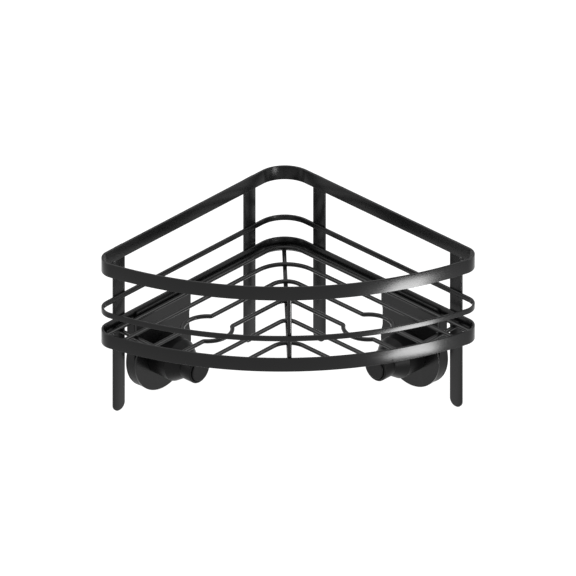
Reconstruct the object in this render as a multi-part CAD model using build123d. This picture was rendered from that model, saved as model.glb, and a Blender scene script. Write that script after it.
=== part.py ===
from build123d import *
import math
import os

# Corner shower caddy: a quarter-round wire basket on four flat posts, held to the two walls of a corner
# by two push-lock suction mounts under its floor. Millimetres, +Z up, +Y towards the room's corner,
# origin on the ground at the middle of the caddy's own box.
# A place on a side is its distance along that side from the virtual rear corner, where the two outer
# side planes meet at 90 degrees, and its inset from the side's outer plane. Hand is -1 left, +1 right.

# ---- basket ----
shelf_width = 299.0
shelf_depth = 196.0
rear_corner_radius = 25.6
front_corner_radius = 13.4
rail_thickness = 1.8
rail_height = 12.3
mid_rail_height = 4.6
mid_rail_drop = 45.4
bottom_rail_drop = 65.7
bar_edge_radius = 0.3

post_width = 12.8
post_thickness = 2.0
post_foot_radius = 6.0
post_top_radius = 2.0
post_top_drop = 1.5
rear_post_setback = 13.1
front_post_setback = 15.8

wire_diameter = 3.6
weld_bite = 0.3
strut_top_drop = 3.0
second_wire_share = 0.105
third_wire_share = 0.22
wire_pitch_share = 0.1113
wire_bends = [21.0, 30.0, 15.0, 12.0, 9.0, 17.0]
corner_wire_setback = 11.9
bottle_hole_offset = 5.1
bottle_hole_radius = 20.0
kink_radius = 2.6

# ---- wall brackets ----
bracket_thickness = 2.0
bracket_inset = 0.5
bracket_top_drop = 3.0
bracket_corner_radius = 2.0
waist_depth = 2.0
waist_angle = 16.0
bracket_bore = 4.0

# ---- suction cup and its backing ----
cup_radius = 32.0
cup_ground_gap = 3.0
cup_rail_gap = 8.3
cup_post_gap = 8.8
cup_standoff = 7.4
cup_lip = 0.8
cup_lip_slope = 4.2
cup_membrane = 1.5
cup_rim_edge = 0.8
cup_rim_depth = 3.4
cup_back_rise = 1.6
cup_boss_radius = 7.8
backing_inset = 0.2
backing_corner_radius = 3.0
backing_web = 1.6
backing_rim = 2.4
backing_collar = 5.7

# ---- barrel and push button ----
hub_radius = 17.6
hub_length = 17.7
hub_wall = 2.2
neck_radius = 11.0
neck_wall = 1.2
cone_length = 10.0
collar_radius = 11.7
collar_flare = 2.1
collar_length = 10.0
soft_edge = 0.7
snap_bead = 0.5
button_proud = 1.3
button_wall = 1.5
button_travel = 3.0
cap_thickness = 2.5
spring_socket_depth = 3.0
spring_socket_wall = 1.6
bell_flange = 2.3
bell_straight = 4.5
bell_cone = 7.0
detent_wire = 1.0
detent_bite = 0.2
detent_depth = 7.0
detent_gap_angle = 40.0

# ---- rockers, stem and spring ----
base_thickness = 2.0
pivot_rise = 5.8
rocker_width = 5.0
rocker_tip_radius = 1.0
rocker_eye_radius = 1.9
pin_radius = 1.0
ear_thickness = 2.0
ear_radius = 2.2
stem_radius = 2.0
stem_head_radius = 5.0
stem_head_thickness = 1.6
stem_tail = 2.5
nut_flange_radius = 4.0
nut_flange_thickness = 1.0
nut_across_flats = 7.0
nut_height = 2.5
spring_radius = 3.2
spring_wire = 0.8
spring_turns = 8
screw_angle = 30.0
screw_radius = 1.25
screw_head_radius = 2.0
screw_head_thickness = 1.3

# ---- clearances ----
running_gap = 0.05
side_gap = 0.2
moving_gap = 0.3
bore_gap = 0.5

# ---- heights and places that follow ----
wire_radius = wire_diameter / 2
mount_height = cup_ground_gap + cup_radius
bottom_rail_base = mount_height + cup_radius + cup_rail_gap
bottom_rail_top = bottom_rail_base + rail_height
caddy_height = bottom_rail_top + bottom_rail_drop
mid_rail_top = caddy_height - mid_rail_drop
spine_height = bottom_rail_base + wire_radius
floor_height = spine_height + wire_diameter - weld_bite

lead = math.sqrt(0.5)
virtual_corner = shelf_depth / 2 + rear_corner_radius * (math.sqrt(2) - 1)
floor_reach = virtual_corner + shelf_depth / 2
wall_wire_inset = rail_thickness + bracket_thickness + wire_radius - weld_bite
third_wire_inset = third_wire_share * floor_reach
wire_pitch = wire_pitch_share * floor_reach
wire_insets = [wall_wire_inset, second_wire_share * floor_reach]
wire_insets += [third_wire_inset + wire_pitch * i for i in range(4)]
bottle_hole_inset = third_wire_inset + wire_pitch / 2
corner_run = (shelf_width / 2 - front_corner_radius) / lead + front_corner_radius
arm_reach = corner_run + 2 * front_corner_radius
rear_post_place = rear_corner_radius + rear_post_setback
front_post_place = corner_run - front_post_setback
corner_wire_place = corner_run - corner_wire_setback
mount_place = front_post_place - post_width / 2 - cup_post_gap - cup_radius
bottle_hole_place = mount_place + bottle_hole_offset

# Along a mount's axis, zero is the wall that the cup sits on and the rest runs into the room.
plate_back = cup_standoff + rail_thickness
hub_start = plate_back + bracket_thickness
base_front = hub_start + base_thickness
hub_end = hub_start + hub_length
cone_end = hub_end + cone_length
collar_start = cone_end + collar_flare
collar_end = collar_start + collar_length
button_face = collar_end + button_proud
bore_radius = neck_radius - neck_wall
button_radius = bore_radius - bore_gap
hub_bore = hub_radius - hub_wall
bell_radius = hub_bore - bore_gap
bell_bore = bell_radius - bell_flange
pivot_height = hub_start + pivot_rise

# The rockers fill the room between stem and bell, and swing equally to both sides of level.
# Their straight flanks run from the eye to the tips.
outer_tip = bell_radius - 2 * side_gap - rocker_tip_radius
inner_tip = stem_radius + bore_gap + rocker_tip_radius
rocker_arm = (outer_tip - inner_tip) / 2
rocker_pivot = (outer_tip + inner_tip) / 2
rocker_tilt = math.asin(button_travel / 2 / rocker_arm)
flank_tilt = rocker_tilt + math.asin((rocker_eye_radius - rocker_tip_radius) / rocker_arm)


def flank_height(offset):
    """Height of a lowered arm's flank at a distance from its pivot."""
    return pivot_height + rocker_eye_radius / math.cos(flank_tilt) - offset * math.tan(flank_tilt)


tip_height = pivot_height + button_travel / 2 + rocker_tip_radius
nut_seat = max(flank_height(rocker_pivot - nut_flange_radius) + button_travel, tip_height) + moving_gap
nut_end = nut_seat + nut_flange_thickness + nut_height
bell_seat = flank_height(bell_bore - rocker_pivot) + moving_gap
bell_shoulder = bell_seat + bell_straight
bell_stop = bell_shoulder + button_travel + moving_gap
cap_inside = button_face - cap_thickness
detent_height = collar_end - detent_depth

cup_boss_top = plate_back - side_gap
pocket_roof = cup_boss_top - cup_membrane
head_top = pocket_roof - running_gap
head_bottom = head_top - stem_head_thickness
pocket_floor = head_bottom - button_travel - moving_gap
cup_face = pocket_floor - cup_membrane
cup_back = cup_rim_depth + cup_back_rise
backing_start = cup_rim_edge + side_gap
backing_radius = cup_radius - backing_inset
cup_seat = backing_radius - backing_rim
backing_bore = cup_boss_radius + moving_gap
screw_circle = backing_bore + backing_collar / 2
screw_head_base = cup_back + side_gap
screw_seat = screw_head_base + screw_head_thickness
screw_tip = base_front - side_gap


# ---- plan geometry ----
upright = (Align.CENTER, Align.CENTER, Align.MIN)


def on_side(hand, along, inset):
    """The plan point of a place on one side."""
    return (hand * lead * (along - inset), virtual_corner - lead * (along + inset))


def on_circle(centre, radius, angle):
    """A plan point on a circle, the angle in radians."""
    return (centre[0] + radius * math.cos(angle), centre[1] + radius * math.sin(angle))


def arc_about(centre, radius, start, end):
    """A plan arc about a centre, between two angles in radians."""
    return ThreePointArc(*[on_circle(centre, radius, a) for a in (start, (start + end) / 2, end)])


corner_centre = on_side(1, corner_run, front_corner_radius)
corner_lead = corner_centre[1] + shelf_depth / 2
front_radius = (corner_centre[0] ** 2 + corner_lead**2 - front_corner_radius**2) / (
    2 * (corner_lead - front_corner_radius)
)
front_centre = front_radius - shelf_depth / 2
corner_turn = math.atan2(corner_centre[1] - front_centre, corner_centre[0])


def plan_face(inset):
    """The basket's plan outline, inset from the rails' outer surface."""
    eighth = math.pi / 4
    rear_centre = (0, virtual_corner - rear_corner_radius * math.sqrt(2))
    left_centre = (-corner_centre[0], corner_centre[1])
    left_turn = -math.pi - corner_turn
    rear = arc_about(rear_centre, rear_corner_radius - inset, 3 * eighth, eighth)
    right = arc_about(corner_centre, front_corner_radius - inset, eighth, corner_turn)
    front = arc_about((0, front_centre), front_radius - inset, corner_turn, left_turn)
    left = arc_about(left_centre, front_corner_radius - inset, left_turn, -5 * eighth)
    return make_face([rear, Line(rear @ 1, right @ 0), right, front, left, Line(left @ 1, rear @ 0)])


def wall_plane(hand, along, inset, height):
    """A plane parallel to one side: X level along it, Y up, Z into the basket."""
    x, y = on_side(hand, along, inset)
    return Plane(origin=(x, y, height), x_dir=(lead, -hand * lead, 0), z_dir=(-hand * lead, -lead, 0))


# ---- basket pieces ----
def plate(outline, thickness):
    """A flat bar or sheet piece with its long edges slightly rounded."""
    body = extrude(outline, thickness)
    rims = [edge for edge in body.edges() if edge.bounding_box().size.Z < bar_edge_radius / 10]
    return fillet(rims, bar_edge_radius)


def rail(top, height):
    """A closed flat band round the basket."""
    return Pos(0, 0, top - height) * plate(plan_face(0) - plan_face(rail_thickness), height)


def post(hand, place):
    """A flat post welded to the outside of the rails, with a round foot."""
    length = caddy_height - post_top_drop
    blade = Rectangle(post_width, length, align=(Align.CENTER, Align.MIN))
    blade = fillet(blade.vertices().group_by(Axis.Y)[0], post_foot_radius)
    blade = fillet(blade.vertices().group_by(Axis.Y)[-1], post_top_radius)
    return wall_plane(hand, place, -post_thickness, 0) * plate(blade, post_thickness)


def bracket(hand):
    """A plate welded inside the bottom rail, with a waist and a round end behind the suction mount."""
    top = bottom_rail_top - bracket_top_drop - mount_height
    side = cup_radius - bracket_inset
    foot = on_circle((0, 0), cup_radius, math.radians(waist_angle))
    waist = (side - waist_depth, (foot[1] + cup_radius) / 2)
    outline = [
        Line((-side, top), (side, top)),
        Line((side, top), (side, cup_radius)),
        ThreePointArc((side, cup_radius), waist, foot),
        ThreePointArc(foot, (0, -cup_radius), (-foot[0], foot[1])),
        ThreePointArc((-foot[0], foot[1]), (-waist[0], waist[1]), (-side, cup_radius)),
        Line((-side, cup_radius), (-side, top)),
    ]
    sheet = make_face(outline)
    sheet = fillet(sheet.vertices().group_by(Axis.Y)[-1], bracket_corner_radius)
    sheet -= Circle(bracket_bore)
    for place in screw_places():
        sheet -= place * Circle(screw_radius + side_gap)
    return wall_plane(hand, mount_place, rail_thickness, mount_height) * plate(sheet, bracket_thickness)


def drawn_wire(edges, height):
    """A round wire along level edges in order, trimmed to the inside of the rails."""
    path = Pos(0, 0, height) * Wire(edges)
    section = Plane(origin=path @ 0, z_dir=path % 0) * Circle(wire_radius)
    return sweep(section, path=path) & inside


def straight_arm(hand, inset, bend):
    """One arm of a floor wire, from the end of its bend outwards."""
    return [Line(on_side(hand, inset + bend, inset), on_side(hand, arm_reach, inset))]


def hole_arm(hand, inset, bend):
    """An arm that leaves its line to go round its half of a bottle hole, with a tight kink each side."""
    side = 1 if inset > bottle_hole_inset else -1
    offset = abs(inset - bottle_hole_inset)
    spread = bottle_hole_radius + kink_radius
    run = math.sqrt(spread**2 - (offset + kink_radius) ** 2)
    lean = math.atan2(run, offset + kink_radius)

    def spot(along, inward):
        return on_side(hand, bottle_hole_place + along, bottle_hole_inset + side * inward)

    def kink(direction):
        start = spot(direction * run, offset)
        middle = spot(
            direction * (run - kink_radius * math.sin(lean / 2)),
            offset + kink_radius - kink_radius * math.cos(lean / 2),
        )
        end = spot(direction * bottle_hole_radius * math.sin(lean), bottle_hole_radius * math.cos(lean))
        return start, middle, end

    near = kink(-1)
    far = kink(1)
    return [
        Line(on_side(hand, inset + bend, inset), near[0]),
        ThreePointArc(*near),
        ThreePointArc(near[2], spot(0, bottle_hole_radius), far[2]),
        ThreePointArc(far[2], far[1], far[0]),
        Line(far[0], on_side(hand, arm_reach, inset)),
    ]


def floor_wire(index):
    """A floor wire parallel to both sides, bent at the middle."""
    inset = wire_insets[index]
    bend = wire_bends[index]
    arm = hole_arm if index in (2, 3) else straight_arm
    crown = (0, virtual_corner - math.sqrt(2) * (inset + bend) + bend)
    corner = ThreePointArc(on_side(-1, inset + bend, inset), crown, on_side(1, inset + bend, inset))
    return drawn_wire(arm(-1, inset, bend)[::-1] + [corner] + arm(1, inset, bend), floor_height)


def corner_wire(hand):
    """A cross wire under the floor wires' ends, square to the side."""
    run = Line(on_side(hand, corner_wire_place, 0), on_side(hand, corner_wire_place, arm_reach / 2))
    return drawn_wire([run], spine_height)


def spine_wire():
    """The wire under all floor wires, from the rear rail to the front rail."""
    return drawn_wire([Line((0, shelf_depth / 2), (0, -shelf_depth / 2))], spine_height)


def front_strut():
    """The upright wire inside the front of the three rails, standing on the spine."""
    foot = spine_height + wire_radius - weld_bite
    back = rail_thickness + wire_radius - weld_bite - shelf_depth / 2
    length = caddy_height - strut_top_drop - foot
    return Pos(0, back, foot) * Cylinder(wire_radius, length, align=upright)


# ---- mount pieces, in the mount's own frame ----
# Its Z is the mount's axis and its Y is up. The rockers and their ears are drawn edge on, looking along X.
edge_on = Plane(origin=(0, 0, 0), x_dir=(0, 1, 0), z_dir=(1, 0, 0)).location


def turned(*points):
    """A piece turned about the mount's axis from its half outline of (radius, height) points."""
    return revolve(Plane.XZ * make_face(Polyline(*points, close=True)), Axis.Z)


def ring_edges(body, radius, height):
    """The circular edges of a turned piece at a radius and height."""
    circles = body.edges().filter_by(GeomType.CIRCLE)
    return [
        edge
        for edge in circles
        if abs(edge.radius - radius) < running_gap and abs(edge.arc_center.Z - height) < running_gap
    ]


def screw_places():
    """The four places of a mount's screws."""
    angles = [screw_angle, 180 - screw_angle, 180 + screw_angle, -screw_angle]
    return [Pos(*on_circle((0, 0), screw_circle, math.radians(a))) for a in angles]


def drilled(body, radius, start, end):
    """The body with a hole at every screw place."""
    for place in screw_places():
        body -= place * Pos(0, 0, start) * Cylinder(radius, end - start, align=upright)
    return body


def suction_cup():
    """Soft cup with a thin lip, a hollow face and a pocket that holds the stem's head."""
    return turned(
        (0, cup_face),
        (cup_radius - cup_lip - cup_lip_slope, cup_face),
        (cup_radius - cup_lip, 0),
        (cup_radius, 0),
        (cup_radius, cup_rim_edge),
        (cup_seat - side_gap, cup_rim_edge),
        (cup_seat - side_gap, cup_rim_depth),
        (cup_boss_radius, cup_back),
        (cup_boss_radius, cup_boss_top),
        (stem_radius + moving_gap, cup_boss_top),
        (stem_radius + moving_gap, pocket_roof),
        (stem_head_radius + moving_gap, pocket_roof),
        (stem_head_radius + moving_gap, pocket_floor),
        (0, pocket_floor),
    )


def backing_face(inset):
    """The backing's outline: round below, with straight sides up to the bottom rail."""
    top = bottom_rail_base - side_gap - mount_height - inset
    block = Rectangle(2 * (backing_radius - inset), top, align=(Align.CENTER, Align.MIN))
    block = fillet(block.vertices().group_by(Axis.Y)[-1], backing_corner_radius)
    return block + Circle(backing_radius - inset)


def cup_backing():
    """Stiff housing round the cup, with a collar that the screws go through."""
    slope = cup_back_rise / (cup_seat - side_gap - cup_boss_radius)
    web = cup_back + backing_web
    body = Pos(0, 0, backing_start) * extrude(backing_face(0), plate_back - backing_start)
    hollow = Pos(0, 0, web) * extrude(backing_face(backing_rim), plate_back - web)
    body -= hollow - Pos(0, 0, web) * Cylinder(backing_bore + backing_collar, plate_back - web, align=upright)
    body -= turned(
        (0, backing_start),
        (cup_seat, backing_start),
        (cup_seat, cup_rim_depth),
        (cup_seat - side_gap, cup_rim_depth),
        (backing_bore, cup_back - slope * (backing_bore - cup_boss_radius)),
        (backing_bore, plate_back),
        (0, plate_back),
    )
    body = drilled(body, screw_head_radius + side_gap / 2, cup_rim_depth, screw_seat)
    return drilled(body, screw_radius + side_gap, screw_seat, plate_back)


def rocker_base():
    """Round base inside the hub, with an ear each side of both rockers and a bead that the barrel snaps on."""
    middle = hub_start + base_thickness / 2
    disc = turned(
        (stem_radius + moving_gap, hub_start),
        (hub_bore, hub_start),
        (hub_bore, middle - snap_bead),
        (hub_bore + snap_bead, middle),
        (hub_bore, middle + snap_bead),
        (hub_bore, base_front),
        (stem_radius + moving_gap, base_front),
    )
    disc = drilled(disc, screw_radius, hub_start, screw_tip)
    rise = pivot_height - base_front
    ear = Pos(0, -rise / 2) * Rectangle(2 * ear_radius, rise) + Circle(ear_radius) - Circle(pin_radius)
    for way in (-1, 1):
        for edge in (rocker_width / 2 + side_gap, -rocker_width / 2 - side_gap - ear_thickness):
            disc += Pos(edge, way * rocker_pivot, pivot_height) * edge_on * extrude(ear, ear_thickness)
    return disc


def rocker(way):
    """A rocker, pressed at its outer tip by the button's bell, lifting the stem's nut with its inner tip."""
    rounds = [Circle(rocker_eye_radius)]
    rounds += [Pos(reach, 0) * Circle(rocker_tip_radius) for reach in (-rocker_arm, rocker_arm)]
    bar = make_hull([piece.edge() for piece in rounds]) - Circle(pin_radius + running_gap)
    body = edge_on * extrude(bar, rocker_width / 2, both=True)
    return Pos(0, way * rocker_pivot, pivot_height) * Rot(-way * math.degrees(rocker_tilt), 0, 0) * body


def rocker_pin(way):
    """The pin that a rocker turns on, held in its two ears."""
    length = rocker_width + 2 * (side_gap + ear_thickness)
    return Pos(-length / 2, way * rocker_pivot, pivot_height) * Rot(0, 90, 0) * Cylinder(
        pin_radius, length, align=upright
    )


def barrel():
    """The shell over the mechanism: a hub, a cone and a collar that guides the button."""
    middle = hub_start + base_thickness / 2
    bore_start = bell_stop + (hub_bore - bore_radius) * cone_length / (hub_radius - neck_radius)
    groove = button_radius - detent_bite + detent_wire + running_gap
    half_groove = detent_wire / 2 + running_gap
    shell = turned(
        (hub_radius, hub_start),
        (hub_radius, hub_end),
        (neck_radius, cone_end),
        (collar_radius, collar_start),
        (collar_radius, collar_end),
        (bore_radius, collar_end),
        (bore_radius, detent_height + half_groove),
        (groove, detent_height + half_groove),
        (groove, detent_height - half_groove),
        (bore_radius, detent_height - half_groove),
        (bore_radius, bore_start),
        (hub_bore, bell_stop),
        (hub_bore, middle + snap_bead),
        (hub_bore + snap_bead, middle),
        (hub_bore, middle - snap_bead),
        (hub_bore, hub_start),
    )
    rims = [ring_edges(shell, hub_radius, hub_end), ring_edges(shell, collar_radius, collar_end)]
    return fillet(sum(rims, []), soft_edge)


def button():
    """Push button: a cap on a tube that widens into a bell round the rockers' outer tips."""
    tube = button_radius - button_wall
    tube_start = bell_shoulder + bell_cone
    socket = spring_radius + spring_wire / 2 + moving_gap
    socket_start = cap_inside - spring_socket_depth
    body = turned(
        (0, button_face),
        (button_radius, button_face),
        (button_radius, tube_start),
        (bell_radius, bell_shoulder),
        (bell_radius, bell_seat),
        (bell_bore, bell_seat),
        (bell_bore, bell_shoulder - button_wall / 2),
        (tube, tube_start - button_wall / 2),
        (tube, cap_inside),
        (socket + spring_socket_wall, cap_inside),
        (socket + spring_socket_wall, socket_start),
        (socket, socket_start),
        (socket, cap_inside),
        (0, cap_inside),
    )
    body = fillet(ring_edges(body, button_radius, button_face), soft_edge)
    for height in (detent_height, detent_height - button_travel):
        groove = Torus(button_radius - detent_bite + detent_wire / 2, detent_wire / 2 + running_gap)
        body -= Pos(0, 0, height) * groove
    return body


def detent_ring():
    """Open wire ring in the collar that clicks into either groove of the button."""
    radius = button_radius - detent_bite + detent_wire / 2
    section = Plane.XZ * Pos(radius, 0) * Circle(detent_wire / 2)
    ring = revolve(section, Axis.Z, 360 - detent_gap_angle)
    return Pos(0, 0, detent_height) * ring


def button_spring():
    """Coil spring between the stem's nut and the button's cap."""
    foot = nut_end + spring_wire / 2
    height = cap_inside - spring_wire / 2 - foot
    path = Helix(height / spring_turns, height, spring_radius)
    section = Plane(origin=path @ 0, z_dir=path % 0) * Circle(spring_wire / 2)
    return Pos(0, 0, foot) * sweep(section, path=path, is_frenet=True)


def stem():
    """Headed stem: its head pulls the cup's middle off the wall."""
    end = nut_end + stem_tail
    return turned(
        (0, head_bottom),
        (stem_head_radius, head_bottom),
        (stem_head_radius, head_top),
        (stem_radius, head_top),
        (stem_radius, end),
        (0, end),
    )


def lift_nut():
    """Flanged hexagon nut on the stem, lifted by the rockers' inner tips."""
    flange = Pos(0, 0, nut_seat) * Cylinder(nut_flange_radius, nut_flange_thickness, align=upright)
    hexagon = RegularPolygon(nut_across_flats / 2, 6, major_radius=False)
    body = flange + Pos(0, 0, nut_seat + nut_flange_thickness) * extrude(hexagon, nut_height)
    return body - Pos(0, 0, nut_seat) * Cylinder(stem_radius, nut_end - nut_seat, align=upright)


def mount_screws():
    """The four screws that clamp the bracket between the backing and the rocker base."""
    screw = turned(
        (0, screw_head_base),
        (screw_head_radius, screw_head_base),
        (screw_head_radius, screw_seat),
        (screw_radius, screw_seat),
        (screw_radius, screw_tip),
        (0, screw_tip),
    )
    return [place * screw for place in screw_places()]


# ---- assembly ----
inside = extrude(plan_face(rail_thickness), caddy_height)
nodes = {
    "top_rail": rail(caddy_height, rail_height),
    "mid_rail": rail(mid_rail_top, mid_rail_height),
    "bottom_rail": rail(bottom_rail_top, rail_height),
    "front_strut": front_strut(),
    "spine_wire": spine_wire(),
}
for index in range(len(wire_insets)):
    nodes[f"floor_wire_{index + 1}"] = floor_wire(index)

rocker_pins = []
screws = []
for hand, word in ((-1, "left"), (1, "right")):
    nodes[f"rear_post_{word}"] = post(hand, rear_post_place)
    nodes[f"front_post_{word}"] = post(hand, front_post_place)
    nodes[f"corner_wire_{word}"] = corner_wire(hand)
    nodes[f"bracket_{word}"] = bracket(hand)
    mount = wall_plane(hand, mount_place, -cup_standoff, mount_height)
    pieces = {
        "suction_cup": suction_cup(),
        "cup_backing": cup_backing(),
        "rocker_base": rocker_base(),
        "barrel": barrel(),
        "button": button(),
        "button_spring": button_spring(),
        "detent_ring": detent_ring(),
        "stem": stem(),
        "lift_nut": lift_nut(),
        "rocker_upper": rocker(1),
        "rocker_lower": rocker(-1),
    }
    for name, piece in pieces.items():
        nodes[f"{word}_{name}"] = mount * piece
    rocker_pins += [mount * rocker_pin(way) for way in (1, -1)]
    screws += [mount * screw for screw in mount_screws()]
nodes["rocker_pins"] = Compound(rocker_pins)
nodes["mount_screws"] = Compound(screws)

os.makedirs("parts", exist_ok=True)
for name, shape in nodes.items():
    export_step(shape, f"parts/{name}.step")
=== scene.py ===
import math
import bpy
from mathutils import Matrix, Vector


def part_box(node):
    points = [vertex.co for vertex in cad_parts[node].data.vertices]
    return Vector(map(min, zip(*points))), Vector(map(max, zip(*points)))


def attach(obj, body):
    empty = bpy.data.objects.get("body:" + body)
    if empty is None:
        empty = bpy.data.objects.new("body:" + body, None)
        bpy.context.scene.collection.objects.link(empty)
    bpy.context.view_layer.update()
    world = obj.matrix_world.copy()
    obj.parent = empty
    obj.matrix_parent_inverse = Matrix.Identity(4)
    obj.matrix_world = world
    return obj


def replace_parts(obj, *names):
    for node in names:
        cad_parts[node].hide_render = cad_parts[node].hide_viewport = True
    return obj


bl_info = {
    "name": "Corner Shower Caddy",
    "version": (1, 0, 0),
    "blender": (4, 5, 0),
    "location": "3D View > Sidebar > Caddy",
    "description": "Finished pieces of a coated wire corner caddy with two push-lock suction mounts",
    "category": "Object",
}

import bmesh
import bpy
from bpy.props import FloatProperty, FloatVectorProperty, IntProperty, PointerProperty
from mathutils import Matrix, Vector

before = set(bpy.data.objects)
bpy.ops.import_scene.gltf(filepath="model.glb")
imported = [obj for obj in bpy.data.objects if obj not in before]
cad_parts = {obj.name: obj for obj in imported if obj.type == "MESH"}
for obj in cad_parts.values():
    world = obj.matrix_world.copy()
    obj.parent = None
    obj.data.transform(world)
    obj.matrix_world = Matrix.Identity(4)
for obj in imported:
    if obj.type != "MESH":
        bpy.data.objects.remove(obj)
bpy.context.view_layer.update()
boxes = {node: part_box(node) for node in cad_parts}

# Lengths are metres. A place on a side of the basket is its distance along that side from the
# virtual rear corner, where the two outer side planes meet, and its inset from that side's plane.
# A hand is -1 for the left side and +1 for the right.
MM = 0.001
LEAD = math.sqrt(0.5)
EIGHTH = math.pi / 4
HANDS = ((-1, "left"), (1, "right"))

# Straight pieces that arcs are made of
CORNER_STEPS, FRONT_STEPS = 40, 96
BEND_STEPS, BOW_STEPS, KINK_STEPS = 24, 48, 12
FOOT_STEPS, TOP_STEPS = 14, 8

# Floor wires: bend radii in millimetres from the rear one on, and the two that open round the holes
WIRE_BENDS = (21.0, 30.0, 15.0, 12.0, 9.0, 17.0)
HOLE_WIRES = (2, 3)
WIRE_BITE, CROSS_BITE = 0.3 * MM, 0.4 * MM

# Weld beads: the two half sizes across the way a bead faces and the one along it, in bead radii
END_BEAD = (1.0, 0.86, 0.36)
CROWN_BEAD = (0.8, 0.8, 0.26)
SPINE_BEAD = (0.92, 0.8, 0.34)
STRUT_BEAD = (0.34, 0.9, 0.2)
TACK_BEAD = (0.7, 0.7, 1.4)
CROSS_BEAD = (0.86, 0.86, 0.3)
END_SETBACK, END_DROP, SPINE_SETBACK, STRUT_SETBACK = 0.5 * MM, 0.2 * MM, 0.3 * MM, 0.35 * MM
TACK_SHIFT, TACK_DROP = 2.2 * MM, 0.3 * MM
STRUT_SIDE, STRUT_TURN = 0.8, 0.5

# Shells: inner step, groove of the detent ring, snap groove of the base, and small edge roundings
BORE_STEP = 2.0 * MM
RING_SETBACK, RING_HALF, RING_RADIUS = 7.0 * MM, 0.55 * MM, 10.15 * MM
SNAP_PLACE, SNAP_DEPTH = 1.0 * MM, 0.5 * MM
SEAT_EDGE, NECK_EDGE, BORE_EDGE = 0.25 * MM, 0.5 * MM, 0.3 * MM

# Finishes: how much lighter a colour drifts, and how much lighter a painted highlight makes it along
# convex edges
DRIFT_GAIN, EDGE_HIGHLIGHT_GAIN, EDGE_HIGHLIGHT_LIFT = 1.25, 1.9, 0.004

# Stage
FLOOR_HALF, FLOOR_DROP = 4.0, 0.2 * MM
TOP_SPOT, TOP_WIDTH = (-0.2, -0.1, 1.5), 1.6
SIDE_REACH, SIDE_BACK, SIDE_RISE, SIDE_WIDTH = 1.1, 0.1, 0.68, 0.9
SIDE_LEVEL, SIDE_FALL = 0.866, 0.5
LOW_SPOT, LOW_WIDTH, LOW_LENGTH = (0.232, -0.223, 0.012), 0.075, 0.2
CAMERA_REACH, CLIP_NEAR, CLIP_FAR = 1.5, 0.05, 20


# ---- sizes and colours ----
def length(name, description, millimetres):
    """A length property with its default in millimetres."""
    return FloatProperty(
        name=name, description=description, default=millimetres * MM, unit="LENGTH", precision=5
    )


def shade(name, description, colour):
    """A linear colour property."""
    return FloatVectorProperty(
        name=name, description=description, default=colour, subtype="COLOR", size=3, min=0, max=1
    )


def share(name, description, value, top=1.0):
    """A plain number property."""
    return FloatProperty(
        name=name, description=description, default=value, min=0, max=top, subtype="FACTOR"
    )


def heading(name, description, degrees):
    """An angle property with its default in degrees."""
    return FloatProperty(
        name=name,
        description=description,
        default=math.radians(degrees),
        subtype="ANGLE",
        unit="ROTATION",
    )


class CaddyBasketSizes(bpy.types.PropertyGroup):
    """Sizes of the rails, posts and wires."""

    rear_radius: length("Rear corner radius", "Outer radius of the rails' rear corner", 25.6)
    front_radius: length("Front corner radius", "Outer radius of the rails' front corners", 13.4)
    rail_thickness: length("Rail thickness", "Thickness of the flat bar of the rails", 1.8)
    bar_edge: length("Bar edge radius", "Rounding of the flat bars' edges under the coat", 0.4)
    foot_radius: length("Foot radius", "Rounding of the posts' feet", 6.0)
    post_width: length("Post width", "Width of the posts' flat bar", 12.8)
    post_thickness: length("Post thickness", "Thickness of the posts' flat bar", 2.0)
    post_top_radius: length("Post top radius", "Rounding of the posts' upper corners", 2.0)
    wire_diameter: length("Wire diameter", "Diameter of all round wires", 3.6)
    hole_radius: length("Bottle hole radius", "Radius of the wires' bows round a bottle hole", 20.0)
    hole_place: length("Bottle hole place", "Distance of the bottle holes along a side", 147.974)
    kink_radius: length("Kink radius", "Radius of the tight bends beside a bottle hole", 2.6)
    corner_wire_setback: length(
        "Cross wire setback", "Cross wires' distance from the front end of a side's straight", 11.9
    )
    bead_radius: length("Bead radius", "Half width of a weld bead at a wire's end", 2.5)


class CaddyMountSizes(bpy.types.PropertyGroup):
    """Sizes of the suction mounts, along each mount's own axis from the wall into the room."""

    cup_standoff: length("Cup standoff", "From the wall to the rails' outer plane", 7.4)
    bracket_thickness: length("Bracket thickness", "Thickness of the bracket plate", 2.0)
    hub_radius: length("Hub radius", "Radius of the shell's wide part", 17.6)
    hub_length: length("Hub length", "Length of the shell's wide part", 17.7)
    hub_bore: length("Hub bore", "Inside radius of the shell's wide part", 15.4)
    cone_length: length("Cone length", "Length of the shell's cone", 10.0)
    neck_radius: length("Neck radius", "Radius where the cone ends", 11.0)
    collar_radius: length("Collar radius", "Radius of the collar round the button", 11.7)
    collar_flare: length("Collar flare", "Length of the flare from neck to collar", 2.1)
    collar_length: length("Collar length", "Length of the collar", 10.0)
    bore_radius: length("Collar bore", "Inside radius of the collar", 9.8)
    soft_edge: length("Soft edge", "Rounding of the moulded parts' outer edges", 0.7)
    turn_steps: IntProperty(
        name="Turning steps", description="Faces round a turned piece", default=120, min=24, max=360
    )


class CaddyColours(bpy.types.PropertyGroup):
    """Colours and gloss of the finishes."""

    coat: shade("Coat", "Powder coat on bars and wires", (0.0022, 0.0022, 0.0023))
    coat_gloss: share("Coat roughness", "Roughness of the powder coat", 0.23)
    plastic: shade("Plastic", "Moulded plastic of the mounts", (0.0026, 0.0026, 0.0027))
    rubber: shade("Rubber", "Soft suction cups", (0.0030, 0.0030, 0.0031))
    steel: shade("Steel", "Plated steel parts", (0.56, 0.56, 0.57))
    spring: shade("Spring steel", "Springs and detent rings", (0.42, 0.42, 0.43))


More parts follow.
